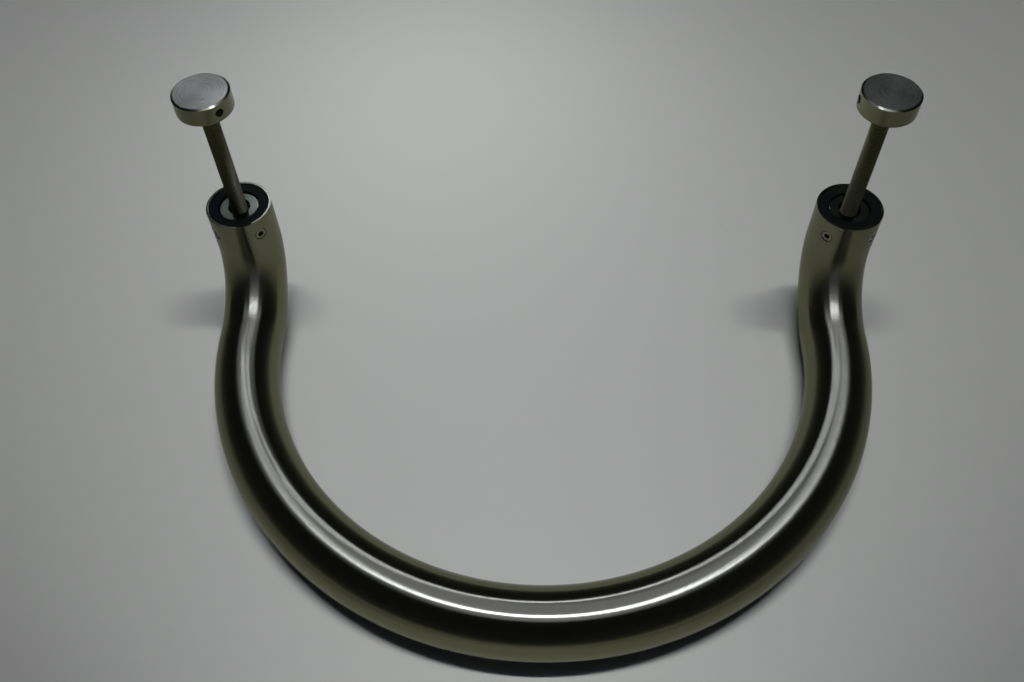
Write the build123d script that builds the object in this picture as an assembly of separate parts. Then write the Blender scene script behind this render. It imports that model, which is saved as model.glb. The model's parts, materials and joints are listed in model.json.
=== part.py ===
"""Semicircular bridge pull handle for a door leaf or glass panel, all sizes in millimetres.

One bent steel tube ends in two short posts. Each post holds a nylon bush with a threaded steel core,
locked by two grub screws. A stud runs from each core through the door to a clamping cap.

The origin lies midway between the two stud axes, in the plane of the tube ends that meets the door.
+X runs from the left stud to the right one, +Z points into the door, and the bow reaches towards -Y.
"""
from build123d import *
from math import cos, radians, sin, tan
import os

# Handle tube
tube_od = 32.0
tube_wall = 1.2
fixing_centres = 300.0  # stud axis to stud axis, and so the width of the bow's centre line
post_length = 22.0  # straight run from the tube's end to the elbow
elbow_radius = 38.0  # centre line of the right-angled elbows
rim_break_outer = 0.3  # polished edge breaks on the open ends
rim_break_inner = 0.15

# Threads, drawn at their nominal diameter
stud_d = 8.0
grub_d = 6.0
thread_play = 0.05  # radial play of a screw in its tapped hole

# Nylon bush in the tube's mouth
bush_play = 0.15  # radial play in the tube's bore
bush_recess = 0.4  # top face below the tube's rim
bush_wall = 4.95
bush_bend_gap = 1.6  # the bush stops this far short of the elbow
bush_edge_break = 0.5

# Threaded core in the bush
core_play = 0.05  # radial play in the bush
core_recess = 1.5  # top face below the tube's rim
core_edge_break = 0.5
core_countersink_d = 11.0
collar_width = 2.4  # the collar bears up against a shoulder in the bush
collar_height = 4.0

# Grub screws
grub_drop = 9.0  # axis below the tube's rim
grub_spread = 45.0  # degrees to each side of the bow's direction
grub_hole_play = 0.15  # radial play in the tube's drilled hole
grub_recess = 0.3  # outer face below the tube's surface
grub_edge_break = 0.4
grub_point_break = 1.0
hex_across_flats = 3.0
hex_depth = 2.6

# Studs
door_gap = 61.0  # clear stud between the tube's end and the cap
core_engagement = 16.0  # thread length in the core, below its top face
stud_end_break = 1.0
stud_end_gap = 0.5  # between the stud's end and the bottom of the cap's tapped hole

# Clamping caps
cap_d = 26.0
cap_thickness = 9.0
cap_face_web = 2.0  # solid metal over the tapped hole
cap_outer_break = 0.9
cap_inner_break = 0.3
cap_mouth_break = 0.8
tommy_hole_d = 4.0
tommy_hole_depth = 6.0
drill_point_angle = 118.0  # degrees across a drill's point
tommy_hole_bearing = {"left": -44.0, "right": 178.0}  # degrees from +X, as each cap is screwed down

# Derived sizes
tube_r = tube_od / 2
bore_r = tube_r - tube_wall
bow_radius = fixing_centres / 2
bow_depth = post_length + elbow_radius  # tube end to the bow's centre plane
bush_r = bore_r - bush_play
core_r = bush_r - bush_wall
bush_bottom = bush_bend_gap - post_length
tapped_r = stud_d / 2 + thread_play
cap_r = cap_d / 2
cap_hole_depth = cap_thickness - cap_face_web
side_sign = {"left": -1, "right": 1}
grub_bearing = {"inner": grub_spread, "outer": -grub_spread}  # degrees from -Y, towards the other end


def turned(*corners):
    """A part turned about Z from (radius, height) corners."""
    return revolve(Plane.XZ * make_face(Polyline(*corners, close=True)), Axis.Z)


def drill(diameter, depth):
    """A drill along Z that cuts to depth below the origin, then ends in its point."""
    radius = diameter / 2
    point_height = radius / tan(radians(drill_point_angle / 2))
    return turned((0, 0), (radius, 0), (radius, -depth), (0, -depth - point_height))


def facing_out(bearing, distance, height):
    """A plane that faces away from the post's axis, bearing in degrees from +X."""
    direction = Vector(cos(radians(bearing)), sin(radians(bearing)), 0)
    return Plane(origin=direction * distance + Vector(0, 0, height), z_dir=direction)


def grub_plane(side, place, distance):
    """Where a grub screw crosses the given distance from the post's axis."""
    bearing = -90 - side_sign[side] * grub_bearing[place]
    return facing_out(bearing, distance, -grub_drop)


def tube_route():
    """Centre line: post, elbow, half-circle bow, elbow, post."""
    bow_plane = Plane(origin=(0, -elbow_radius, -bow_depth))
    lines = [bow_plane * CenterArc((0, 0), bow_radius, 180, 180)]
    for sign in side_sign.values():
        x = sign * bow_radius
        elbow_plane = Plane(origin=(x, -elbow_radius, -post_length), x_dir=(0, 1, 0), z_dir=(1, 0, 0))
        lines.append(elbow_plane * CenterArc((0, 0), elbow_radius, -90, 90))
        lines.append(Line((x, 0, -post_length), (x, 0, 0)))
    return Wire(lines)


def rim_edges(tube, radius):
    """The circles of this radius at the tube's open ends."""
    rims = tube.edges().filter_by(GeomType.CIRCLE).group_by(Axis.Z)[-1]
    return [edge for edge in rims if abs(edge.radius - radius) < tube_wall / 4]


def handle_tube():
    """One tube bent twice out of plane, cut square at both ends and drilled for the grub screws."""
    mouth = Plane(origin=(-bow_radius, 0, 0), z_dir=(0, 0, -1))
    route = tube_route()
    tube = sweep(mouth * Circle(tube_r), route) - sweep(mouth * Circle(bore_r), route)
    tube = chamfer(rim_edges(tube, tube_r), rim_break_outer)
    tube = chamfer(rim_edges(tube, bore_r), rim_break_inner)
    hole = Cylinder(grub_d / 2 + grub_hole_play, tube_r, align=(Align.CENTER, Align.CENTER, Align.MIN))
    for side, sign in side_sign.items():
        for place in grub_bearing:
            tube -= Pos(sign * bow_radius, 0, 0) * (grub_plane(side, place, core_r) * hole)
    return tube


def nylon_bush(side):
    """The black sleeve that centres the core in the tube and carries the grub screws' threads."""
    bore = core_r + core_play
    shoulder = core_r + collar_width + core_play
    shoulder_height = bush_bottom + collar_height
    bush = turned(
        (bore, -bush_recess - bush_edge_break),
        (bore + bush_edge_break, -bush_recess),
        (bush_r - bush_edge_break, -bush_recess),
        (bush_r, -bush_recess - bush_edge_break),
        (bush_r, bush_bottom),
        (shoulder, bush_bottom),
        (shoulder, shoulder_height),
        (bore, shoulder_height),
    )
    tapping = Cylinder(grub_d / 2 + thread_play, bush_wall + 2, align=(Align.CENTER, Align.CENTER, Align.MIN))
    for place in grub_bearing:
        bush -= grub_plane(side, place, core_r - 1) * tapping
    return bush


def threaded_core():
    """The turned steel core, tapped through for the stud and held down by its collar."""
    collar_r = core_r + collar_width
    collar_top = bush_bottom + collar_height
    mouth_r = core_countersink_d / 2
    return turned(
        (tapped_r, bush_bottom),
        (collar_r, bush_bottom),
        (collar_r, collar_top),
        (core_r, collar_top),
        (core_r, -core_recess - core_edge_break),
        (core_r - core_edge_break, -core_recess),
        (mouth_r, -core_recess),
        (tapped_r, -core_recess - mouth_r + tapped_r),
    )


def grub_screw(side, place):
    """A hexagon-socket grub screw whose flat point bears on the core."""
    radius = grub_d / 2
    length = tube_r - grub_recess - core_r
    screw = turned(
        (0, 0),
        (radius - grub_edge_break, 0),
        (radius, -grub_edge_break),
        (radius, grub_point_break - length),
        (radius - grub_point_break, -length),
        (0, -length),
    )
    socket = extrude(RegularPolygon(hex_across_flats / 2, 6, major_radius=False), -hex_depth)
    return grub_plane(side, place, core_r + length) * (screw - socket)


def stud():
    """The fully threaded stud, from inside the core to just short of the cap's hole bottom."""
    radius = stud_d / 2
    bottom = -core_recess - core_engagement
    top = door_gap + cap_hole_depth - stud_end_gap
    return turned(
        (0, bottom),
        (radius - stud_end_break, bottom),
        (radius, bottom + stud_end_break),
        (radius, top - stud_end_break),
        (radius - stud_end_break, top),
        (0, top),
    )


def clamping_cap(side):
    """The turned cap that clamps the door, with a blind tapped hole and a tommy-bar hole in its side."""
    top = door_gap + cap_thickness
    hole_top = door_gap + cap_hole_depth
    cap = turned(
        (tapped_r + cap_mouth_break, door_gap),
        (cap_r - cap_inner_break, door_gap),
        (cap_r, door_gap + cap_inner_break),
        (cap_r, top - cap_outer_break),
        (cap_r - cap_outer_break, top),
        (0, top),
        (0, hole_top),
        (tapped_r, hole_top),
        (tapped_r, door_gap + cap_mouth_break),
    )
    mid_height = door_gap + cap_thickness / 2
    return cap - facing_out(tommy_hole_bearing[side], cap_r, mid_height) * drill(tommy_hole_d, tommy_hole_depth)


nodes = {"handle_tube": handle_tube()}
for side, sign in side_sign.items():
    post = Pos(sign * bow_radius, 0, 0)
    nodes[f"nylon_bush_{side}"] = post * nylon_bush(side)
    nodes[f"threaded_core_{side}"] = post * threaded_core()
    nodes[f"stud_{side}"] = post * stud()
    nodes[f"clamping_cap_{side}"] = post * clamping_cap(side)
    for place in grub_bearing:
        nodes[f"grub_screw_{side}_{place}"] = post * grub_screw(side, place)

os.makedirs("parts", exist_ok=True)
for name, solid in nodes.items():
    export_step(solid, f"parts/{name}.step")
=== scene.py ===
import json
from math import atan2, cos, hypot, pi, radians, sin, tau

import bmesh
import bpy
from bpy.props import FloatProperty, FloatVectorProperty, IntProperty, PointerProperty
from mathutils import Matrix, Vector


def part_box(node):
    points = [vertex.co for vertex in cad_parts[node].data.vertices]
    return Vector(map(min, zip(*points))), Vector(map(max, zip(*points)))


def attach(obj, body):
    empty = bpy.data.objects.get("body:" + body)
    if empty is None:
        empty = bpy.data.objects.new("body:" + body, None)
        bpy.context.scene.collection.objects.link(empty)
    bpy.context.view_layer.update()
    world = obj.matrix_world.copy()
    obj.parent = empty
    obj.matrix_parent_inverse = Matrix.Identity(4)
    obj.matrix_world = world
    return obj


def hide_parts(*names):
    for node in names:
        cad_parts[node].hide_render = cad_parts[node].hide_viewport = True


bl_info = {
    "name": "Bridge pull handle",
    "version": (1, 0, 0),
    "blender": (4, 5, 0),
    "location": "3D View > Sidebar > Pull Handle",
    "description": "Finished pieces, materials and studio for a tubular bridge pull handle",
    "category": "Object",
}

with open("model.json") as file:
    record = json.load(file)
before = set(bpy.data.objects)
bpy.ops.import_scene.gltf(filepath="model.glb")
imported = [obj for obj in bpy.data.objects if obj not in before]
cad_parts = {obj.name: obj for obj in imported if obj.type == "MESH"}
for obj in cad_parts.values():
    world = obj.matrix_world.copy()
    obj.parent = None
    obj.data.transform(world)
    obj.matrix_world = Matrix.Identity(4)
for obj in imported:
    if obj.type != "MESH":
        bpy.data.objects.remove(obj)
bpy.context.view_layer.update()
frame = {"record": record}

MM = 0.001
NEAR = 1e-5  # metres, within which points are on one ring or one level
MERGE = 1e-7  # metres, within which points become one
SHARP = radians(28)  # an edge that turns more than this stays a crease
ROOT = "root"
SIDES = ("left", "right")
PLACES = ("inner", "outer")
MOUNTS = {mount["name"]: mount for mount in frame["record"]["mounts"]}

# Facets in a full turn
TUBE_FACETS = 96  # also of the bushes and cores inside it
CAP_FACETS = 128
SCREW_FACETS = 48  # also of the drilled holes

# Cosines that tell flats, walls and edges apart by the way their faces point
FLAT = 0.9999  # a flat faces along its axis at least this squarely
WALL_LEAN = 0.05  # a straight wall leans along its axis by this at most
WALL_SQUARE = 0.97  # a straight wall faces away from its axis at least this squarely
TUBE_SQUARE = 0.985  # the bent tube's wall faces away from its centre line at least this squarely

THREAD_DEPTH = 0.6134  # of an external metric thread, in pitches
DRILL_POINT = 0.6  # height of a drill's point, in radii of its hole
ROUGHNESS_SWING = 0.04  # how far rings and scratches take a roughness up and down
TUBE_UV = "tube_path"

# The tube's centre line, read off the CAD: the posts stand on the door seats, and one box gives the bends.
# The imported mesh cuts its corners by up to 0.01 mm, so that box is rounded to a tenth of a millimetre.
POST = {side: Vector(MOUNTS["door_seat_" + side]["pos_m"]) for side in SIDES}
TUBE_LOW, TUBE_HIGH = [Vector([round(value, 4) for value in corner]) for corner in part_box("handle_tube")]
BOW_R = POST["right"].x
TUBE_R = TUBE_HIGH.x - BOW_R
ELBOW_R = -TUBE_LOW.y - BOW_R - TUBE_R
POST_LENGTH = -TUBE_LOW.z - TUBE_R - ELBOW_R
ELBOW_ARC = ELBOW_R * pi / 2
BOW_ARC = BOW_R * pi


def linear(colour):
    """An sRGB hex colour as linear RGBA."""
    channels = [int(colour[i : i + 2], 16) / 255 for i in (1, 3, 5)]
    return [c / 12.92 if c <= 0.04045 else ((c + 0.055) / 1.055) ** 2.4 for c in channels] + [1.0]


def size_property(name, description, default_mm):
    """A length shown in the sidebar, given here in millimetres."""
    return FloatProperty(
        name=name, description=description, default=default_mm * MM, min=0.0, unit="LENGTH",
        subtype="DISTANCE", precision=5,
    )


def colour_property(name, description, default_hex):
    """A colour shown in the sidebar, given here as an sRGB hex value."""
    return FloatVectorProperty(
        name=name, description=description, default=linear(default_hex), size=4, min=0.0, max=1.0,
        subtype="COLOR",
    )


class TubeSettings(bpy.types.PropertyGroup):
    wall: size_property("Wall", "Thickness of the tube's wall", 1.2)
    outer_round: size_property("Outer rim round", "Polished round on the outer edge of each open end", 0.2)
    inner_round: size_property("Inner rim round", "Round on the inner edge of each open end", 0.12)
    grub_hole: size_property("Grub hole radius", "Radius of the drilled holes for the grub screws", 3.15)
    brush_pitch: size_property("Brush pitch", "Spacing of the satin lines along the tube", 0.9)
    brush_length: size_property("Brush length", "Length of one satin line around the tube", 14.0)
    steel: colour_property("Steel", "Colour of the satin steel", "#76775D")
    steel_edge: colour_property("Steel edge", "Tint where the steel turns away", "#EDEDEA")
    # Darker than the tube's steel: painted shade on the polished rims.
    shaded_rim_steel: colour_property("Rim", "Colour of the polished rims", "#63654D")


class BushSettings(bpy.types.PropertyGroup):
    bore: size_property("Bore radius", "Radius of the bore round the core", 9.75)
    shoulder: size_property("Shoulder radius", "Radius of the recess for the core's collar", 12.15)
    shoulder_height: size_property("Shoulder height", "Depth of the recess for the core's collar", 4.0)
    edge_round: size_property("Edge round", "Moulded round on the top edges", 0.5)
    tapping: size_property("Tapping radius", "Radius of the tapped holes for the grub screws", 3.05)
    nylon: colour_property("Nylon", "Colour of the moulded nylon", "#0B0D08")


class CoreSettings(bpy.types.PropertyGroup):
    radius: size_property("Radius", "Radius of the core above its collar", 9.7)
    bore: size_property("Bore radius", "Radius of the tapped bore for the stud", 4.05)
    countersink: size_property("Countersink radius", "Radius of the countersink round the stud", 5.5)
    collar_height: size_property("Collar height", "Height of the collar at the bottom", 4.0)
    edge_round: size_property("Edge round", "Round on the top edge", 0.5)
    turning_pitch: size_property("Turning pitch", "Spacing of the lathe rings", 0.9)
    steel: colour_property("Steel", "Colour of the plated steel", "#4C523E")


class StudSettings(bpy.types.PropertyGroup):
    pitch: size_property("Thread pitch", "Pitch of the metric thread", 1.25)
    steps_per_turn: IntProperty(
        name="Steps per turn", description="Facets in one turn of thread", default=24, min=8
    )
    steel: colour_property("Steel", "Colour of the oiled steel", "#868566")
    steel_edge: colour_property("Steel edge", "Tint where the steel turns away", "#BCBCB3")


class CapSettings(bpy.types.PropertyGroup):
    chamfer: size_property("Chamfer", "Width of the chamfer on the edge of the outer face", 0.9)
    chamfer_drop: size_property("Chamfer drop", "Height of the chamfer down the side", 0.55)
    inner_round: size_property("Inner edge", "Bevel on the edge that meets the door", 0.3)
    tapping: size_property("Tapping radius", "Radius of the tapped hole", 4.05)
    tapping_depth: size_property("Tapping depth", "Depth of the tapped hole", 7.0)
    mouth: size_property("Mouth", "Chamfer on the mouth of the tapped hole", 0.8)
    turning_pitch: size_property("Turning pitch", "Spacing of the lathe rings", 0.8)
    steel: colour_property("Steel", "Colour of the turned steel", "#95977B")
    # The side is darker than the face: painted shade.
    shaded_side_steel: colour_property("Side", "Colour of the oilier side", "#78795F")
    # Darker than the face's steel: painted shade on the polished chamfer.
    shaded_edge_steel: colour_property("Edge", "Colour of the dark polished edges", "#585944")


class GrubSettings(bpy.types.PropertyGroup):
    radius: size_property("Radius", "Radius of the screw", 3.0)
    recess: size_property("Recess", "Depth of the outer face below the tube's surface", 0.3)
    edge_round: size_property("Edge round", "Chamfer on the outer edge", 0.4)
    point_break: size_property("Point", "Chamfer on the flat point", 1.0)
    across_flats: size_property("Across flats", "Width of the hexagon socket", 3.0)
    socket_depth: size_property("Socket depth", "Depth of the hexagon socket", 2.6)
    steel: colour_property("Steel", "Colour of the screw", "#868674")
    # The dark colour of the screw's outer edge in the gap is painted shade.
    gap_shade: colour_property("Gap", "Colour of the oily edge in the gap", "#26261F")


class StudioSettings(bpy.types.PropertyGroup):
    floor_size: size_property("Floor width", "Width of the square table top", 10000.0)
    floor: colour_property("Table", "Colour of the middle of the table top", "#A6A8A7")
    backdrop: colour_property("Backdrop", "Colour of the backdrop behind the table", "#545557")
    room: colour_property("Room", "Colour of the dim room overhead", "#24262A")
    lamp_height: size_property("Lamp height", "Height of the ceiling lamps over the table", 3800.0)


# Node and mesh helpers


def add(tree, kind, sockets, **settings):
    """Adds a shader node with its settings. Each socket gets a value or another node's output."""
    node = tree.nodes.new("ShaderNode" + kind)
    for name, value in settings.items():
        setattr(node, name, value)
    for name, value in sockets.items():
        if isinstance(value, bpy.types.NodeSocket):
            tree.links.new(value, node.inputs[name])
        else:
            node.inputs[name].default_value = value
    return node


def new_material(name):
    """An empty node material and its tree."""
    material = bpy.data.materials.new(name)
    material.use_nodes = True
    material.node_tree.nodes.clear()
    return material, material.node_tree


def metal(tree, colour, shader, bump):
    """A metal shader that ends the tree, with a fine bump."""
    surface = add(tree, "BsdfPrincipled", {"Base Color": colour, "Metallic": 1.0, "Normal": bump, **shader})
    add(tree, "OutputMaterial", {"Surface": surface.outputs["BSDF"]})


def tinted(tree, colour, grain, low, high):
    """The colour, made between low and high times as bright by a grain from 0 to 1."""
    shade = add(tree, "MapRange", {"Value": grain, "To Min": low, "To Max": high}).outputs["Result"]
    scaled = add(tree, "VectorMath", {0: list(colour)[:3], "Scale": shade}, operation="SCALE")
    return scaled.outputs["Vector"]


def bmesh_edges(geom):
    """The edges in what a bmesh operator returns."""
    return [item for item in geom if isinstance(item, bmesh.types.BMEdge)]


def bmesh_verts(geom):
    """The vertices in what a bmesh operator returns."""
    return [item for item in geom if isinstance(item, bmesh.types.BMVert)]


def ring_edges(mesh, radius, height, centre=Vector()):
    """The edges of a bmesh that lie on a level circle."""

    def on_ring(vert):
        across = hypot(vert.co.x - centre.x, vert.co.y - centre.y)
        return abs(across - radius) < NEAR and abs(vert.co.z - height) < NEAR

    return [edge for edge in mesh.edges if all(on_ring(vert) for vert in edge.verts)]


def round_edges(mesh, edges, width):
    """Rounds the edges off, in three facets."""
    bmesh.ops.bevel(
        mesh, geom=edges, offset=width, offset_type="OFFSET", segments=3, profile=0.5, affect="EDGES",
        material=-1, clamp_overlap=True,
    )


def turned(corners, facets, rounds=()):
    """A bmesh turned about Z from a closed outline of (radius, height) corners. Each round gives the
    radius and height of an edge, and its width."""
    mesh = bmesh.new()
    verts = [mesh.verts.new((radius, 0.0, height)) for radius, height in corners]
    loop = verts if corners[0][0] == 0.0 else verts + verts[:1]
    edges = [mesh.edges.new(pair) for pair in zip(loop, loop[1:])]
    bmesh.ops.spin(
        mesh, geom=verts + edges, cent=(0, 0, 0), axis=(0, 0, 1), angle=tau, steps=facets,
        use_merge=True, use_duplicate=False,
    )
    bmesh.ops.remove_doubles(mesh, verts=mesh.verts, dist=MERGE)
    bmesh.ops.recalc_face_normals(mesh, faces=mesh.faces)
    for radius, height, width in rounds:
        round_edges(mesh, ring_edges(mesh, radius, height), width)
    return mesh


def facing(direction, centre):
    """The matrix that stands a piece's Z axis along a direction, at a centre."""
    return Matrix.Translation(centre) @ Vector(direction).to_track_quat("Z", "Y").to_matrix().to_4x4()


def new_object(name, mesh, matrix=Matrix.Identity(4)):
    """Turns a bmesh into an object at the origin, with the matrix applied to its points."""
    bmesh.ops.transform(mesh, matrix=matrix, verts=mesh.verts)
    data = bpy.data.meshes.new(name)
    mesh.to_mesh(data)
    mesh.free()
    piece = bpy.data.objects.new(name, data)
    bpy.context.scene.collection.objects.link(piece)
    return piece


def cut(piece, cutters):
    """Cuts each cutter out of the piece and throws the cutters away."""
    for cutter in cutters:
        modifier = piece.modifiers.new("Cut", "BOOLEAN")
        modifier.operation = "DIFFERENCE"
        modifier.solver = "EXACT"
        modifier.object = cutter
    depsgraph = bpy.context.evaluated_depsgraph_get()
    data = bpy.data.meshes.new_from_object(piece.evaluated_get(depsgraph))
    piece.modifiers.clear()
    piece.data = data
    for cutter in cutters:
        bpy.data.objects.remove(cutter)


def true_normals(piece, normal_at):
    """Gives walls and flats the exact normals of their surface, and lets the rounds between them run
    from one to the other. normal_at returns None where a face isn't on either."""
    data = piece.data
    data.shade_smooth()
    data.set_sharp_from_angle(angle=SHARP)
    normals = [Vector(corner.vector) for corner in data.corner_normals]
    exact_at = {}
    rounds = []
    for polygon in data.polygons:
        for corner in polygon.loop_indices:
            vertex = data.loops[corner].vertex_index
            exact = normal_at(data.vertices[vertex].co, polygon.normal)
            if exact is None:
                rounds.append((corner, vertex, polygon.normal.copy()))
            else:
                normals[corner] = exact
                exact_at.setdefault(vertex, []).append(exact)
    for corner, vertex, face_normal in rounds:
        for exact in exact_at.get(vertex, ()):
            if exact.dot(face_normal) > cos(SHARP):
                normals[corner] = exact
    data.normals_split_custom_set(normals)


def turned_normals(origin, axis=Vector((0, 0, 1))):
    """The normal rule for a piece turned about an axis: its straight walls and its flats are exact."""

    def normal_at(point, face_normal):
        along = face_normal.dot(axis)
        if abs(along) > FLAT:
            return face_normal.copy()
        offset = point - origin
        across = offset - axis * offset.dot(axis)
        if abs(along) > WALL_LEAN or across.length < NEAR:
            return None
        across.normalize()
        side = across.dot(face_normal)
        if abs(side) < WALL_SQUARE:
            return None
        return across if side > 0 else -across

    return normal_at


def finish(piece, node, material):
    """Gives a piece its finish and makes it stand for its CAD node."""
    piece.data.materials.clear()
    piece.data.materials.append(material)
    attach(piece, ROOT)
    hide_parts(node)


# Materials


def satin_brushed_stainless(settings):
    """Stainless tube brushed round its girth with a fine belt. Each lamp is drawn out along the tube
    into one long band with crisp edges, and the steel has a warm, olive cast."""
    material, tree = new_material("satin_brushed_stainless")
    path = add(tree, "UVMap", {}, uv_map=TUBE_UV)
    split = add(tree, "SeparateXYZ", {"Vector": path.outputs["UV"]})
    angle = add(tree, "Math", {0: split.outputs["Y"], 1: tau}, operation="MULTIPLY").outputs["Value"]
    # A seamless place on the unrolled tube: two axes turn with the girth and the third runs along the tube.
    round_x = add(tree, "Math", {0: angle}, operation="COSINE").outputs["Value"]
    round_y = add(tree, "Math", {0: angle}, operation="SINE").outputs["Value"]
    wrapped = add(tree, "CombineXYZ", {"X": round_x, "Y": round_y, "Z": split.outputs["X"]}).outputs["Vector"]
    girth = TUBE_R / settings.brush_length
    # A belt of about 240 grit leaves lines of 0.1 mm. They are drawn several times coarser, to show.
    lines = add(
        tree, "VectorMath", {0: wrapped, 1: (girth, girth, 1 / settings.brush_pitch)}, operation="MULTIPLY"
    ).outputs["Vector"]
    hairlines = add(
        tree, "TexNoise", {"Vector": lines, "Scale": 1.0, "Detail": 4.0, "Roughness": 0.7}
    ).outputs["Fac"]
    # Drawing the tube leaves faint lines along it. Here they are 25 mm long, and coarse enough to show.
    drawn = add(tree, "TexNoise", {"Vector": wrapped, "Scale": 1 / (25 * MM), "Detail": 2.0}).outputs["Fac"]
    mixed = add(tree, "Mix", {"Factor": 0.25, "A": hairlines, "B": drawn}).outputs["Result"]
    roughness = add(tree, "MapRange", {"Value": mixed, "To Min": 0.235, "To Max": 0.268}).outputs["Result"]
    bump = add(tree, "Bump", {"Height": hairlines, "Strength": 0.25, "Distance": 0.02 * MM}).outputs["Normal"]
    along = add(tree, "Tangent", {}, direction_type="UV_MAP", uv_map=TUBE_UV).outputs["Tangent"]
    shader = {
        "Roughness": roughness, "Anisotropic": 1.0, "Specular Tint": settings.steel_edge, "Tangent": along,
    }
    metal(tree, tinted(tree, settings.steel, mixed, 0.86, 1.14), shader, bump)
    return material


def polished_edge(name, colour, roughness):
    """Steel linished smooth: a dark mirror with a few fine scratches, and sharp glints on its rounds. Its
    dark colour is painted shade.
    """
    material, tree = new_material(name)
    place = add(tree, "TexCoord", {}).outputs["Object"]
    # A polishing wheel leaves marks of a few hundredths of a millimetre. They are drawn coarse, to show.
    scratches = add(
        tree, "TexNoise", {"Vector": place, "Scale": 1 / (1.1 * MM), "Detail": 3.0}
    ).outputs["Fac"]
    low, high = roughness - ROUGHNESS_SWING, roughness + ROUGHNESS_SWING
    rough = add(tree, "MapRange", {"Value": scratches, "To Min": low, "To Max": high}).outputs["Result"]
    bump = add(tree, "Bump", {"Height": scratches, "Strength": 0.1, "Distance": 0.01 * MM}).outputs["Normal"]
    metal(tree, tinted(tree, colour, scratches, 0.9, 1.1), {"Roughness": rough}, bump)
    return material


def turned_steel(name, colour, centre, pitch, roughness, anisotropy, contrast):
    """Steel turned on a lathe. Fine rings about the axis show on its faces, and spread each lamp outwards
    from the centre, so that the light changes softly across a face and round a side."""
    material, tree = new_material(name)
    place = add(tree, "TexCoord", {}).outputs["Object"]
    centred = add(tree, "Mapping", {"Vector": place, "Location": (-centre.x, -centre.y, 0.0)})
    split = add(tree, "SeparateXYZ", {"Vector": centred.outputs["Vector"]})
    flat = add(tree, "CombineXYZ", {"X": split.outputs["X"], "Y": split.outputs["Y"]}).outputs["Vector"]
    radius = add(tree, "VectorMath", {0: flat}, operation="LENGTH").outputs["Value"]
    outline = add(tree, "Math", {0: radius, 1: split.outputs["Z"]}, operation="SUBTRACT").outputs["Value"]
    # A lathe feeds about 0.1 mm a turn. The rings are drawn several times coarser, to show.
    cuts = add(tree, "Math", {0: outline, 1: 1 / pitch}, operation="MULTIPLY").outputs["Value"]
    rings = add(
        tree, "TexNoise", {"W": cuts, "Scale": 1.0, "Detail": 3.0, "Roughness": 0.6}, noise_dimensions="1D"
    ).outputs["Fac"]
    # Fingers leave smudges of about 6 mm.
    smudges = add(tree, "TexNoise", {"Vector": place, "Scale": 1 / (6 * MM), "Detail": 2.0}).outputs["Fac"]
    mixed = add(tree, "Mix", {"Factor": 0.3, "A": rings, "B": smudges}).outputs["Result"]
    low, high = roughness - ROUGHNESS_SWING, roughness + ROUGHNESS_SWING
    rough = add(tree, "MapRange", {"Value": mixed, "To Min": low, "To Max": high}).outputs["Result"]
    bump = add(tree, "Bump", {"Height": rings, "Strength": 0.2, "Distance": 0.005 * MM}).outputs["Normal"]
    around = add(tree, "Tangent", {}, direction_type="RADIAL", axis="Z").outputs["Tangent"]
    shader = {
        "Roughness": rough, "Anisotropic": anisotropy, "Anisotropic Rotation": 0.25, "Tangent": around,
    }
    metal(tree, tinted(tree, colour, mixed, 1 - contrast, 1 + contrast), shader, bump)
    return material


def oiled_rolled_steel(settings):
    """Plain steel stud, thread rolled and oiled: dark olive, with dull crests, and painted shade that darkens
    it from the crests into the roots. It is also darker towards the foot."""
    root, crest, foot_fade_height = 3.3 * MM, 3.95 * MM, 40 * MM
    darkest, brightest = 0.45, 1.15
    material, tree = new_material("oiled_rolled_steel")
    place = add(tree, "TexCoord", {}).outputs["Object"]
    split = add(tree, "SeparateXYZ", {"Vector": place})
    from_middle = add(tree, "Math", {0: split.outputs["X"]}, operation="ABSOLUTE").outputs["Value"]
    from_post = add(tree, "Math", {0: from_middle, 1: POST["right"].x}, operation="SUBTRACT").outputs["Value"]
    across = add(tree, "CombineXYZ", {"X": from_post, "Y": split.outputs["Y"]}).outputs["Vector"]
    radius = add(tree, "VectorMath", {0: across}, operation="LENGTH").outputs["Value"]
    # Painted shade in the thread: dark in the roots, lighter on the crests.
    painted_root_shade = add(tree, "MapRange", {
        "Value": radius, "From Min": root, "From Max": crest, "To Min": darkest, "To Max": brightest,
    }).outputs["Result"]
    # Darker towards the foot, over the lowest 40 mm.
    darker_to_foot = add(tree, "MapRange", {
        "Value": split.outputs["Z"], "From Min": 0.0, "From Max": foot_fade_height, "To Min": darkest,
        "To Max": 1.0,
    }).outputs["Result"]
    # The oil gathers in spots of about 3 mm. The grain of the rolled skin is drawn coarse, to show.
    film = add(
        tree, "TexNoise", {"Vector": place, "Scale": 1 / (3.3 * MM), "Detail": 4.0, "Roughness": 0.6}
    ).outputs["Fac"]
    grain = add(tree, "TexNoise", {"Vector": place, "Scale": 1 / (0.4 * MM), "Detail": 3.0}).outputs["Fac"]
    rough = add(tree, "MapRange", {"Value": film, "To Min": 0.32, "To Max": 0.55}).outputs["Result"]
    bump = add(tree, "Bump", {"Height": grain, "Strength": 0.3, "Distance": 0.02 * MM}).outputs["Normal"]
    # The painted shade in the roots, times the darkening towards the foot.
    level = add(tree, "Math", {0: painted_root_shade, 1: darker_to_foot}, operation="MULTIPLY").outputs["Value"]
    spotted = tinted(tree, settings.steel, film, 0.75, 1.25)
    colour = add(tree, "VectorMath", {0: spotted, "Scale": level}, operation="SCALE").outputs["Vector"]
    metal(tree, colour, {"Roughness": rough, "Specular Tint": settings.steel_edge}, bump)
    return material


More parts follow.
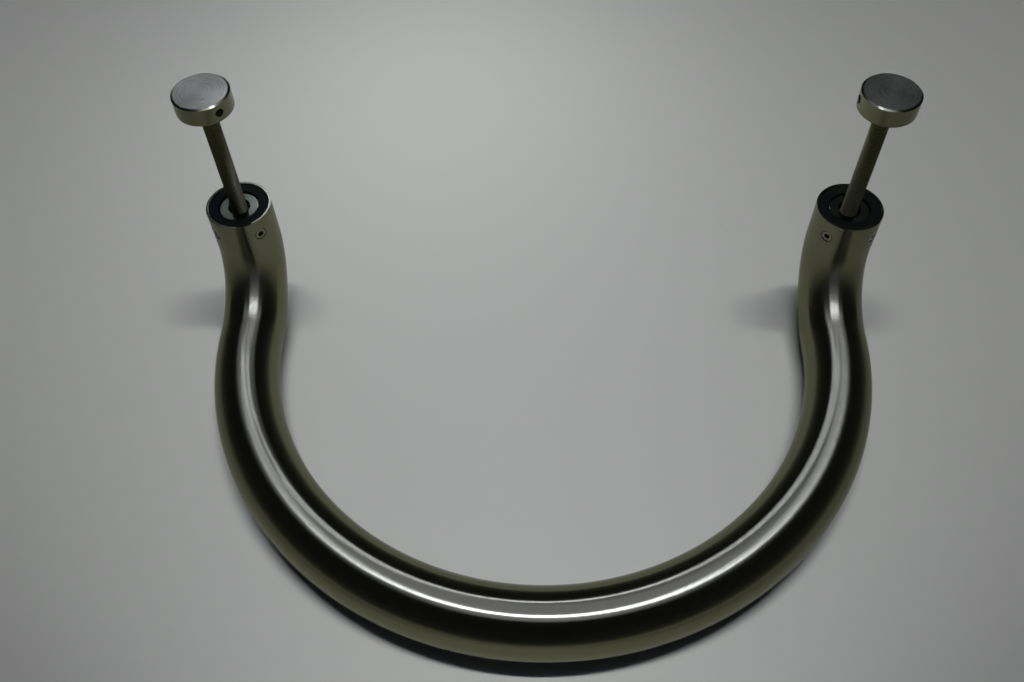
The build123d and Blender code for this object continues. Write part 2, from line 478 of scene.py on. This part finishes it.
def moulded_nylon(settings):
    """Black glass-filled nylon, moulded: a matt black with hardly any sheen and a fine, uneven skin."""
    material, tree = new_material("moulded_nylon")
    place = add(tree, "TexCoord", {}).outputs["Object"]
    # Glass fibres make the skin uneven at about a third of a millimetre. It is drawn coarser, to show.
    skin = add(
        tree, "TexNoise", {"Vector": place, "Scale": 1 / (1.1 * MM), "Detail": 4.0, "Roughness": 0.65}
    ).outputs["Fac"]
    rough = add(tree, "MapRange", {"Value": skin, "To Min": 0.5, "To Max": 0.65}).outputs["Result"]
    bump = add(tree, "Bump", {"Height": skin, "Strength": 0.4, "Distance": 0.03 * MM}).outputs["Normal"]
    colour = tinted(tree, settings.nylon, skin, 0.75, 1.25)
    surface = add(
        tree, "BsdfPrincipled",
        {"Base Color": colour, "Roughness": rough, "IOR": 1.53, "Specular IOR Level": 0.05, "Normal": bump},
    )
    add(tree, "OutputMaterial", {"Surface": surface.outputs["BSDF"]})
    return material


def plain_stainless_screw(settings):
    """Stainless grub screw, cold formed and tumbled: greyer than the tube, with an even, small grain."""
    material, tree = new_material("plain_stainless_screw")
    place = add(tree, "TexCoord", {}).outputs["Object"]
    # Tumbling leaves dents of about 0.1 mm. They are drawn coarser, to show.
    grain = add(tree, "TexNoise", {"Vector": place, "Scale": 1 / (0.55 * MM), "Detail": 3.0}).outputs["Fac"]
    rough = add(tree, "MapRange", {"Value": grain, "To Min": 0.26, "To Max": 0.42}).outputs["Result"]
    bump = add(tree, "Bump", {"Height": grain, "Strength": 0.3, "Distance": 0.02 * MM}).outputs["Normal"]
    metal(tree, tinted(tree, settings.steel, grain, 0.85, 1.1), {"Roughness": rough}, bump)
    return material


def bell(tree, place, centre, width):
    """A smooth bump over a place on the table: 1 in the middle, falling off with the distance in widths."""
    shift = (-centre[0] / width[0], -centre[1] / width[1], 0.0)
    scale = (1 / width[0], 1 / width[1], 0.0)
    scaled = add(tree, "Mapping", {"Vector": place, "Location": shift, "Scale": scale}).outputs["Vector"]
    square = add(tree, "VectorMath", {0: scaled, 1: scaled}, operation="DOT_PRODUCT").outputs["Value"]
    power = add(tree, "Math", {0: square, 1: -1.0}, operation="MULTIPLY").outputs["Value"]
    return add(tree, "Math", {0: power}, operation="EXPONENT").outputs["Value"]


def laminate_table(settings):
    """Pale grey laminate table top: matt, with a faint grain. A lighter patch of light round the handle, a
    sheen in its middle and the dimmer table further off are painted light in its colour.
    """
    # Places, distances and widths on the table are in metres from the handle's origin.
    # Painted light: a lit patch round the handle, a painted sheen in its middle, and a dimmer, even painted
    # level further off.
    painted_pool_centre, painted_pool_width = (-0.032, -0.5), (0.547, 1.125)
    painted_sheen_centre, painted_sheen_width, painted_sheen_gain = (-0.074, 0.20), (0.175, 0.188), 0.47
    spread_per_metre, least_spread = 2.5, 0.25
    least_painted_light, far_painted_light = 0.5, 0.75
    even_centre_y, even_from, even_to = 0.12, 0.41, 0.62

    material, tree = new_material("laminate_table")
    place = add(tree, "TexCoord", {}).outputs["Object"]
    split = add(tree, "SeparateXYZ", {"Vector": place})
    # The painted patch of light is wider at the back than in front.
    widening = add(
        tree, "Math", {0: split.outputs["Y"], 1: spread_per_metre, 2: 1.0}, operation="MULTIPLY_ADD"
    ).outputs["Value"]
    spread = add(tree, "Math", {0: widening, 1: least_spread}, operation="MAXIMUM")
    across = add(tree, "Math", {0: split.outputs["X"], 1: spread.outputs["Value"]}, operation="DIVIDE")
    tapered = add(tree, "CombineXYZ", {"X": across.outputs["Value"], "Y": split.outputs["Y"]})
    painted_light_pool = bell(tree, tapered.outputs["Vector"], painted_pool_centre, painted_pool_width)
    # A painted sheen: a lighter patch behind the handle, painted into the colour.
    sheen = bell(tree, place, painted_sheen_centre, painted_sheen_width)
    level = add(tree, "Math", {0: sheen, 1: painted_sheen_gain, 2: painted_light_pool}, operation="MULTIPLY_ADD").outputs["Value"]
    # Round the painted patch of light the table has one even, dimmer painted light level.
    ground = add(
        tree, "Mapping", {"Vector": place, "Location": (0.0, -even_centre_y, 0.0), "Scale": (1.0, 1.0, 0.0)}
    ).outputs["Vector"]
    away = add(tree, "VectorMath", {0: ground}, operation="LENGTH").outputs["Value"]
    outside = add(
        tree, "MapRange", {"Value": away, "From Min": even_from, "From Max": even_to},
        interpolation_type="SMOOTHSTEP",
    ).outputs["Result"]
    level = add(tree, "Math", {0: level, 1: least_painted_light}, operation="MAXIMUM").outputs["Value"]
    level = add(tree, "Mix", {"Factor": outside, "A": level, "B": far_painted_light}).outputs["Result"]
    # The print of a laminate has dots of about 0.2 mm. They are drawn coarser, to show.
    grain = add(tree, "TexNoise", {"Vector": place, "Scale": 1 / (0.8 * MM), "Detail": 2.0}).outputs["Fac"]
    rough = add(tree, "MapRange", {"Value": grain, "To Min": 0.42, "To Max": 0.5}).outputs["Result"]
    colour = tinted(tree, settings.floor, grain, 0.97, 1.03)
    # The table's colour is scaled by the painted light.
    painted_light_colour = add(tree, "VectorMath", {0: colour, "Scale": level}, operation="SCALE").outputs["Vector"]
    surface = add(
        tree, "BsdfPrincipled", {"Base Color": painted_light_colour, "Roughness": rough, "Specular IOR Level": 0.1}
    )
    add(tree, "OutputMaterial", {"Surface": surface.outputs["BSDF"]})
    return material


# The tube


def tube_place(point):
    """The nearest point of the tube's centre line, the direction away from the bow's middle there, the
    tangent, and the length of the tube up to there."""
    sign = -1.0 if point.x < 0 else 1.0
    elbow_y, elbow_z = point.y + ELBOW_R, point.z + POST_LENGTH
    if elbow_y > 0.0 and elbow_z > 0.0:
        centre = Vector((sign * BOW_R, 0.0, point.z))
        side, tangent, length = Vector((sign, 0, 0)), Vector((0, 0, sign)), -point.z
    elif elbow_y > 0.0:
        turn = atan2(-elbow_z, elbow_y)
        centre = Vector((sign * BOW_R, -ELBOW_R + ELBOW_R * cos(turn), -POST_LENGTH - ELBOW_R * sin(turn)))
        side, tangent = Vector((sign, 0, 0)), Vector((0, sin(turn), cos(turn))) * sign
        length = POST_LENGTH + ELBOW_R * turn
    else:
        turn = atan2(-elbow_y, -point.x)
        side = Vector((-cos(turn), -sin(turn), 0))
        centre = Vector((0, -ELBOW_R, -POST_LENGTH - ELBOW_R)) + BOW_R * side
        return centre, side, Vector((sin(turn), -cos(turn), 0)), POST_LENGTH + ELBOW_ARC + BOW_R * turn
    whole = 2 * (POST_LENGTH + ELBOW_ARC) + BOW_ARC
    return centre, side, tangent, length if sign < 0 else whole - length


def tube_normal(point, face_normal):
    """The normal rule for the tube: straight out from the centre line on its outer wall, straight in on
    its bore, and straight up on its rims."""
    if face_normal.z > FLAT and point.z > TUBE_HIGH.z - NEAR:
        return face_normal.copy()
    outward = (point - tube_place(point)[0]).normalized()
    facing_out = outward.dot(face_normal)
    if abs(facing_out) < TUBE_SQUARE:
        return None
    return outward if facing_out > 0 else -outward


def map_tube(piece):
    """A UV map in which U is the length along the tube in metres and V the turn round it."""
    data = piece.data
    layer = data.uv_layers.new(name=TUBE_UV)

    def turn_at(point, place):
        _, side, tangent, _ = place
        offset = point - place[0]
        return atan2(offset.dot(tangent.cross(side)), offset.dot(side)) / tau

    for polygon in data.polygons:
        middle = turn_at(polygon.center, tube_place(polygon.center))
        for corner in polygon.loop_indices:
            point = data.vertices[data.loops[corner].vertex_index].co
            place = tube_place(point)
            turn = turn_at(point, place)
            layer.data[corner].uv = (place[3], turn + round(middle - turn))


def sweep_wall(mesh, radius, elbow_steps, bow_steps):
    """Sweeps a ring down one post, round an elbow, the bow and the other elbow, and up the other post.
    Returns the edges of both end rings."""
    start = POST["left"]
    ring = bmesh.ops.create_circle(
        mesh, radius=radius, segments=TUBE_FACETS, matrix=Matrix.Translation(start)
    )["verts"]
    first = list({edge for vert in ring for edge in vert.link_edges})

    def push(edges, height):
        moved = bmesh.ops.extrude_edge_only(mesh, edges=edges)["geom"]
        bmesh.ops.translate(mesh, vec=(0, 0, height), verts=bmesh_verts(moved))
        far = [v.co.z for v in bmesh_verts(moved)][0]
        return [e for e in bmesh_edges(moved) if all(abs(v.co.z - far) < NEAR for v in e.verts)]

    def bend(edges, centre, axis, angle, steps):
        verts = list({vert for edge in edges for vert in edge.verts})
        moved = bmesh.ops.spin(
            mesh, geom=verts + edges, cent=centre, axis=axis, angle=angle, steps=steps, use_duplicate=False
        )["geom_last"]
        return bmesh_edges(moved)

    edges = push(first, -POST_LENGTH)
    edges = bend(edges, start + Vector((0, -ELBOW_R, -POST_LENGTH)), (1, 0, 0), -pi / 2, elbow_steps)
    edges = bend(edges, Vector((0, -ELBOW_R, -POST_LENGTH - ELBOW_R)), (0, 0, 1), pi, bow_steps)
    edges = bend(edges, POST["right"] + Vector((0, -ELBOW_R, -POST_LENGTH)), (1, 0, 0), pi / 2, elbow_steps)
    return first, push(edges, POST_LENGTH)


def grub_axis(side, place):
    """Where a grub screw's axis leaves its post's axis, and the level direction it points in."""
    low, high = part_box(f"grub_screw_{side}_{place}")
    middle = (low + high) / 2
    start = Vector((POST[side].x, POST[side].y, middle.z))
    return start, (middle - start).normalized()


def grub_cutters(radius, side):
    """Round cutters on the axes of one post's two grub screws."""
    corners = [(0, 0), (radius, 0), (radius, 2 * TUBE_R), (0, 2 * TUBE_R)]
    cutters = []
    for place in PLACES:
        start, direction = grub_axis(side, place)
        cutters.append(new_object("cutter", turned(corners, SCREW_FACETS), facing(direction, start)))
    return cutters


# The pieces, the studio and the sidebar


class HANDLE_OT_tube(bpy.types.Operator):
    """Bends the hollow satin tube, squares its ends and drills it for the grub screws"""

    bl_idname = "handle.tube"
    bl_label = "Handle tube"

    def execute(self, context):
        settings = context.scene.handle_tube
        mesh = bmesh.new()
        bore = TUBE_R - settings.wall
        inner = sweep_wall(mesh, bore, elbow_steps=12, bow_steps=60)
        bmesh.ops.reverse_faces(mesh, faces=mesh.faces)
        outer = sweep_wall(mesh, TUBE_R, elbow_steps=24, bow_steps=144)
        for outer_end, inner_end in zip(outer, inner):
            bmesh.ops.bridge_loops(mesh, edges=outer_end + inner_end)
        bmesh.ops.recalc_face_normals(mesh, faces=mesh.faces)
        for side in SIDES:
            round_edges(mesh, ring_edges(mesh, TUBE_R, TUBE_HIGH.z, POST[side]), settings.outer_round)
            round_edges(mesh, ring_edges(mesh, bore, TUBE_HIGH.z, POST[side]), settings.inner_round)
        piece = new_object("handle_tube_bent", mesh)
        cut(piece, [cutter for side in SIDES for cutter in grub_cutters(settings.grub_hole, side)])
        true_normals(piece, tube_normal)
        map_tube(piece)
        finish(piece, "handle_tube", satin_brushed_stainless(settings))
        # The polished rim gets a darker steel: painted shade.
        piece.data.materials.append(polished_edge("polished_tube_rim", settings.shaded_rim_steel, roughness=0.15))
        rim_foot = TUBE_HIGH.z - settings.outer_round - NEAR
        for polygon in piece.data.polygons:
            if all(piece.data.vertices[index].co.z > rim_foot for index in polygon.vertices):
                polygon.material_index = 1  # the polished rim
        return {"FINISHED"}


class HANDLE_OT_bushes(bpy.types.Operator):
    """Turns the two black nylon bushes that fill the tube's mouths"""

    bl_idname = "handle.bushes"
    bl_label = "Nylon bushes"

    def execute(self, context):
        settings = context.scene.handle_bush
        material = moulded_nylon(settings)
        for side in SIDES:
            node = "nylon_bush_" + side
            low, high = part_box(node)
            radius = (high.x - low.x) / 2
            recess_top = low.z + settings.shoulder_height
            corners = [
                (settings.bore, high.z), (radius, high.z), (radius, low.z), (settings.shoulder, low.z),
                (settings.shoulder, recess_top), (settings.bore, recess_top),
            ]
            rounds = [(settings.bore, high.z, settings.edge_round), (radius, high.z, settings.edge_round)]
            mesh = turned(corners, TUBE_FACETS, rounds)
            piece = new_object(node + "_moulded", mesh, Matrix.Translation(POST[side]))
            cut(piece, grub_cutters(settings.tapping, side))
            true_normals(piece, turned_normals(POST[side]))
            finish(piece, node, material)
        return {"FINISHED"}


class HANDLE_OT_cores(bpy.types.Operator):
    """Turns the two plated steel cores that the studs screw into"""

    bl_idname = "handle.cores"
    bl_label = "Threaded cores"

    def execute(self, context):
        settings = context.scene.handle_core
        for side in SIDES:
            node = "threaded_core_" + side
            low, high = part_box(node)
            collar = (high.x - low.x) / 2
            collar_top = low.z + settings.collar_height
            sink_bottom = high.z - settings.countersink + settings.bore
            corners = [
                (settings.bore, low.z), (collar, low.z), (collar, collar_top), (settings.radius, collar_top),
                (settings.radius, high.z), (settings.countersink, high.z), (settings.bore, sink_bottom),
            ]
            mesh = turned(corners, TUBE_FACETS, [(settings.radius, high.z, settings.edge_round)])
            piece = new_object(node + "_turned", mesh, Matrix.Translation(POST[side]))
            true_normals(piece, turned_normals(POST[side]))
            # Zinc plating leaves turned steel smooth and dark, with its rings still plain to see.
            material = turned_steel(
                "zinc_plated_turned_steel_" + side, settings.steel, POST[side], settings.turning_pitch,
                roughness=0.2, anisotropy=0.3, contrast=0.3,
            )
            finish(piece, node, material)
        return {"FINISHED"}


class HANDLE_OT_studs(bpy.types.Operator):
    """Rolls a real metric thread on the two studs"""

    bl_idname = "handle.studs"
    bl_label = "Threaded studs"

    def execute(self, context):
        settings = context.scene.handle_stud
        material = oiled_rolled_steel(settings)
        pitch = settings.pitch
        for side in SIDES:
            node = "stud_" + side
            low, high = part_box(node)
            crest = (high.x - low.x) / 2
            root = crest - THREAD_DEPTH * pitch
            # The thread starts a pitch and a half too low and ends too high, and is then trimmed.
            start = low.z - 1.5 * pitch
            turns = int((high.z - low.z) / pitch) + 3
            # One pitch of the outline: a root flat of a quarter pitch and a crest flat of an eighth.
            outline = [(root, 0.0), (root, 0.25), (crest, 0.5625), (crest, 0.6875), (root, 1.0)]
            mesh = bmesh.new()
            verts = [mesh.verts.new((radius, 0.0, start + share * pitch)) for radius, share in outline]
            edges = [mesh.edges.new(pair) for pair in zip(verts, verts[1:])]
            bmesh.ops.spin(
                mesh, geom=verts + edges, cent=(0, 0, 0), axis=(0, 0, 1),
                dvec=(0, 0, pitch / settings.steps_per_turn), angle=tau * turns,
                steps=turns * settings.steps_per_turn, use_duplicate=False,
            )
            # Each turn meets the one below it, within what the steps' rounding adds up to.
            bmesh.ops.remove_doubles(mesh, verts=mesh.verts, dist=10 * MERGE)
            for height, normal in ((low.z, (0, 0, -1)), (high.z, (0, 0, 1))):
                geom = mesh.verts[:] + mesh.edges[:] + mesh.faces[:]
                trimmed = bmesh.ops.bisect_plane(
                    mesh, geom=geom, plane_co=(0, 0, height), plane_no=normal, clear_outer=True, dist=MERGE
                )["geom_cut"]
                bmesh.ops.contextual_create(mesh, geom=bmesh_edges(trimmed))
            bmesh.ops.recalc_face_normals(mesh, faces=mesh.faces)
            piece = new_object(node + "_threaded", mesh, Matrix.Translation(POST[side]))
            piece.data.shade_smooth()
            piece.data.set_sharp_from_angle(angle=SHARP)
            finish(piece, node, material)
        return {"FINISHED"}


class HANDLE_OT_caps(bpy.types.Operator):
    """Turns the two clamping caps, with their tapped holes and tommy-bar holes"""

    bl_idname = "handle.caps"
    bl_label = "Clamping caps"

    def execute(self, context):
        settings = context.scene.handle_cap
        for side in SIDES:
            node = "clamping_cap_" + side
            low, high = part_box(node)
            radius = (high.x - low.x) / 2
            hole_top = low.z + settings.tapping_depth
            corners = [
                (0, high.z), (radius - settings.chamfer, high.z), (radius, high.z - settings.chamfer_drop),
                (radius, low.z), (settings.tapping + settings.mouth, low.z),
                (settings.tapping, low.z + settings.mouth), (settings.tapping, hole_top), (0, hole_top),
            ]
            rounds = [(radius, low.z, settings.inner_round)]
            mesh = turned(corners, CAP_FACETS, rounds)
            piece = new_object(node + "_turned", mesh, Matrix.Translation(POST[side]))
            cut(piece, [self.tommy_drill(MOUNTS["tommy_hole_" + side])])
            true_normals(piece, turned_normals(POST[side]))
            lathe = POST[side], settings.turning_pitch
            face_steel = turned_steel(
                "faced_stainless_" + side, settings.steel, *lathe,
                roughness=0.28, anisotropy=0.22, contrast=0.25,
            )
            # A darker copy of the face's steel for the side: painted shade.
            shaded_side_steel = turned_steel(
                "turned_stainless_side_" + side, settings.shaded_side_steel, *lathe,
                roughness=0.3, anisotropy=0.3, contrast=0.12,
            )
            # The polished chamfer's darker colour is painted shade.
            shaded_edge_steel = polished_edge("polished_cap_edge_" + side, settings.shaded_edge_steel, roughness=0.2)
            finish(piece, node, face_steel)
            piece.data.materials.append(shaded_side_steel)
            piece.data.materials.append(shaded_edge_steel)
            self.share_out(piece, POST[side], radius - settings.chamfer)
        return {"FINISHED"}

    def share_out(self, piece, centre, edge_foot):
        """Gives the upright faces the side's steel, and the sloping ones outside edge_foot the edge's."""
        face, side, edge = range(3)
        upright, level = 0.02, 0.98
        for polygon in piece.data.polygons:
            across = (polygon.center - centre).to_2d().length
            slope = abs(polygon.normal.z)
            on_edge = upright < slope < level and across > edge_foot
            polygon.material_index = edge if on_edge else side if slope < upright else face

    def tommy_drill(self, mount):
        """A cutter for the blind tommy-bar hole, with a drill point, from the mount's own sizes."""
        radius = mount["dims"]["r_mm"] * MM
        half = mount["dims"]["length_mm"] * MM / 2
        tip = -half - DRILL_POINT * radius
        corners = [(0, tip), (radius, -half), (radius, 2 * half), (0, 2 * half)]
        return new_object("cutter", turned(corners, SCREW_FACETS), facing(mount["axis"], mount["pos_m"]))


class HANDLE_OT_grub_screws(bpy.types.Operator):
    """Makes the four hexagon-socket grub screws"""

    bl_idname = "handle.grub_screws"
    bl_label = "Grub screws"

    def execute(self, context):
        settings = context.scene.handle_grub
        material = plain_stainless_screw(settings)
        # The outer edge round each screw, in the gap, is painted dark as shade.
        painted_gap_shade = polished_edge("painted_shade_screw_edge", settings.gap_shade, roughness=0.3)
        core_radius = context.scene.handle_core.radius
        radius, outer = settings.radius, TUBE_R - settings.recess
        across_corners = settings.across_flats / cos(pi / 6)
        corners = [(0, outer), (radius, outer), (radius, core_radius), (0, core_radius)]
        rounds = [(radius, outer, settings.edge_round), (radius, core_radius, settings.point_break)]
        for side in SIDES:
            for place in PLACES:
                node = f"grub_screw_{side}_{place}"
                start, direction = grub_axis(side, place)
                piece = new_object(
                    node + "_socket", turned(corners, SCREW_FACETS, rounds), facing(direction, start)
                )
                socket = bmesh.new()
                bmesh.ops.create_cone(
                    socket, cap_ends=True, segments=6, radius1=across_corners / 2,
                    radius2=across_corners / 2, depth=2 * settings.socket_depth,
                )
                cut(piece, [new_object("cutter", socket, facing(direction, start + direction * outer))])
                true_normals(piece, turned_normals(start, direction))
                finish(piece, node, material)
                piece.data.materials.append(painted_gap_shade)
                for polygon in piece.data.polygons:
                    offset = polygon.center - start
                    out = offset.dot(direction)
                    across = (offset - direction * out).length
                    on_edge = out > outer - settings.edge_round and across > radius - settings.edge_round
                    polygon.material_index = 1 if on_edge else 0
        return {"FINISHED"}


class HANDLE_OT_studio(bpy.types.Operator):
    """Sets up the table, the ceiling lamps, the backdrop and the camera"""

    bl_idname = "handle.studio"
    bl_label = "Studio"

    def execute(self, context):
        settings = context.scene.handle_studio
        context.scene.view_settings.view_transform = "Standard"
        mesh = bmesh.new()
        bmesh.ops.create_grid(mesh, x_segments=1, y_segments=1, size=settings.floor_size / 2)
        floor = new_object("table_top", mesh, Matrix.Translation((0, 0, TUBE_LOW.z)))
        floor.data.materials.append(laminate_table(settings))
        self.lamps(settings)
        self.world(context, settings)
        self.camera(context)
        return {"FINISHED"}

    def lamps(self, settings):
        """Level rectangles that face down. The strips and glows make the reflections. The fills light the
        matt surfaces: one over the handle, and four round it that keep the rest of the table even."""
        cool, warm = "#CFD0FF", "#FFFEFB"
        # Name, left, right, near and far edges in metres, brightness, colour, whether it makes
        # reflections, and its spread in degrees
        rows = (
            ("near_strip", -0.75, 1.15, -0.30, -0.02, 54.5, cool, True, 180),
            ("far_strip", -1.57, 0.30, 3.56, 3.90, 25.0, cool, True, 180),
            ("ceiling_glow", -2.05, 2.10, 0.0, 2.75, 1.28, cool, True, 180),
            ("far_glow", -1.57, 0.30, 2.75, 3.55, 1.28, cool, True, 180),
            ("near_glow", -0.75, 1.15, -1.2, -0.31, 1.74, cool, True, 180),
            ("strip_fill", -0.75, 1.15, 0.10, 0.22, 204.0, warm, False, 180),
            ("left_fill", -6.0, -2.6, -6.0, 6.0, 0.55, warm, False, 60),
            ("right_fill", 2.6, 6.0, -6.0, 6.0, 0.55, warm, False, 60),
            ("front_fill", -2.6, 2.6, -6.0, -2.6, 0.55, warm, False, 60),
            ("back_fill", -2.6, 2.6, 2.6, 6.0, 0.55, warm, False, 60),
        )
        for name, left, right, near, far, brightness, colour, makes_reflections, spread in rows:
            data = bpy.data.lights.new(name, "AREA")
            data.shape = "RECTANGLE"
            data.size, data.size_y = right - left, far - near
            # The watts that make a lamp of this size this bright
            data.energy = brightness * pi * data.size * data.size_y
            data.color = linear(colour)[:3]
            data.spread = radians(spread)
            lamp = bpy.data.objects.new(name, data)
            lamp.location = ((left + right) / 2, (near + far) / 2, TUBE_LOW.z + settings.lamp_height)
            lamp.visible_camera = False
            lamp.visible_glossy = makes_reflections
            lamp.visible_diffuse = not makes_reflections
            bpy.context.scene.collection.objects.link(lamp)

    def world(self, context, settings):
        """A plain backdrop that fades from mid grey at the table's height to the dim room overhead."""
        fade_low, fade_high = -0.02, 0.16  # sines of the angles over the horizon
        world = bpy.data.worlds.new("room")
        context.scene.world = world
        world.use_nodes = True
        tree = world.node_tree
        tree.nodes.clear()
        direction = add(tree, "TexCoord", {}).outputs["Generated"]
        height = add(tree, "SeparateXYZ", {"Vector": direction}).outputs["Z"]
        fade = add(
            tree, "MapRange", {"Value": height, "From Min": fade_low, "From Max": fade_high},
            interpolation_type="SMOOTHSTEP",
        ).outputs["Result"]
        shade = add(
            tree, "Mix", {"Factor": fade, "A": settings.backdrop, "B": settings.room}, data_type="RGBA"
        ).outputs["Result"]
        room = add(tree, "Background", {"Color": shade, "Strength": 1.0})
        add(tree, "OutputWorld", {"Surface": room.outputs["Background"]})

    def camera(self, context):
        """A slightly wide lens above the bow's front, looking down over it at the studs."""
        data = bpy.data.cameras.new("camera")
        data.sensor_width = 36.0
        data.lens = 34.437
        place = Matrix.Translation((-0.0015, -0.34011, 0.34619))
        # Radians below the horizon, to the left, and about the lens
        down, left, roll = 0.9313, 0.0441, -0.0281
        turn = Matrix.Rotation(left, 4, "Z") @ Matrix.Rotation(pi / 2 - down, 4, "X")
        turn = turn @ Matrix.Rotation(roll, 4, "Z")
        camera = bpy.data.objects.new("camera", data)
        camera.matrix_world = place @ turn
        context.scene.collection.objects.link(camera)
        context.scene.camera = camera


class HANDLE_PT_sidebar(bpy.types.Panel):
    """Builds the pull handle piece by piece"""

    bl_label = "Pull Handle"
    bl_idname = "HANDLE_PT_sidebar"
    bl_space_type = "VIEW_3D"
    bl_region_type = "UI"
    bl_category = "Pull Handle"

    def draw(self, context):
        for operator, _, name_on_scene in STEPS:
            box = self.layout.box()
            box.operator(operator.bl_idname)
            settings = getattr(context.scene, name_on_scene)
            for name in settings.bl_rna.properties.keys():
                if name not in ("rna_type", "name"):
                    box.prop(settings, name)


# Each operator, its settings, and their name on the scene, in the order in which the operators run
STEPS = (
    (HANDLE_OT_tube, TubeSettings, "handle_tube"),
    (HANDLE_OT_bushes, BushSettings, "handle_bush"),
    (HANDLE_OT_cores, CoreSettings, "handle_core"),
    (HANDLE_OT_studs, StudSettings, "handle_stud"),
    (HANDLE_OT_caps, CapSettings, "handle_cap"),
    (HANDLE_OT_grub_screws, GrubSettings, "handle_grub"),
    (HANDLE_OT_studio, StudioSettings, "handle_studio"),
)


def register():
    """Adds the operators, their settings and the sidebar panel."""
    for operator, group, name_on_scene in STEPS:
        bpy.utils.register_class(group)
        bpy.utils.register_class(operator)
        setattr(bpy.types.Scene, name_on_scene, PointerProperty(type=group))
    bpy.utils.register_class(HANDLE_PT_sidebar)


def unregister():
    """Takes away what register adds."""
    bpy.utils.unregister_class(HANDLE_PT_sidebar)
    for operator, group, name_on_scene in STEPS:
        delattr(bpy.types.Scene, name_on_scene)
        bpy.utils.unregister_class(operator)
        bpy.utils.unregister_class(group)


def main():
    """Builds every piece and the studio."""
    register()
    for operator, _, _ in STEPS:
        category, name = operator.bl_idname.split(".")
        getattr(getattr(bpy.ops, category), name)()


if __name__ == "__main__":
    main()
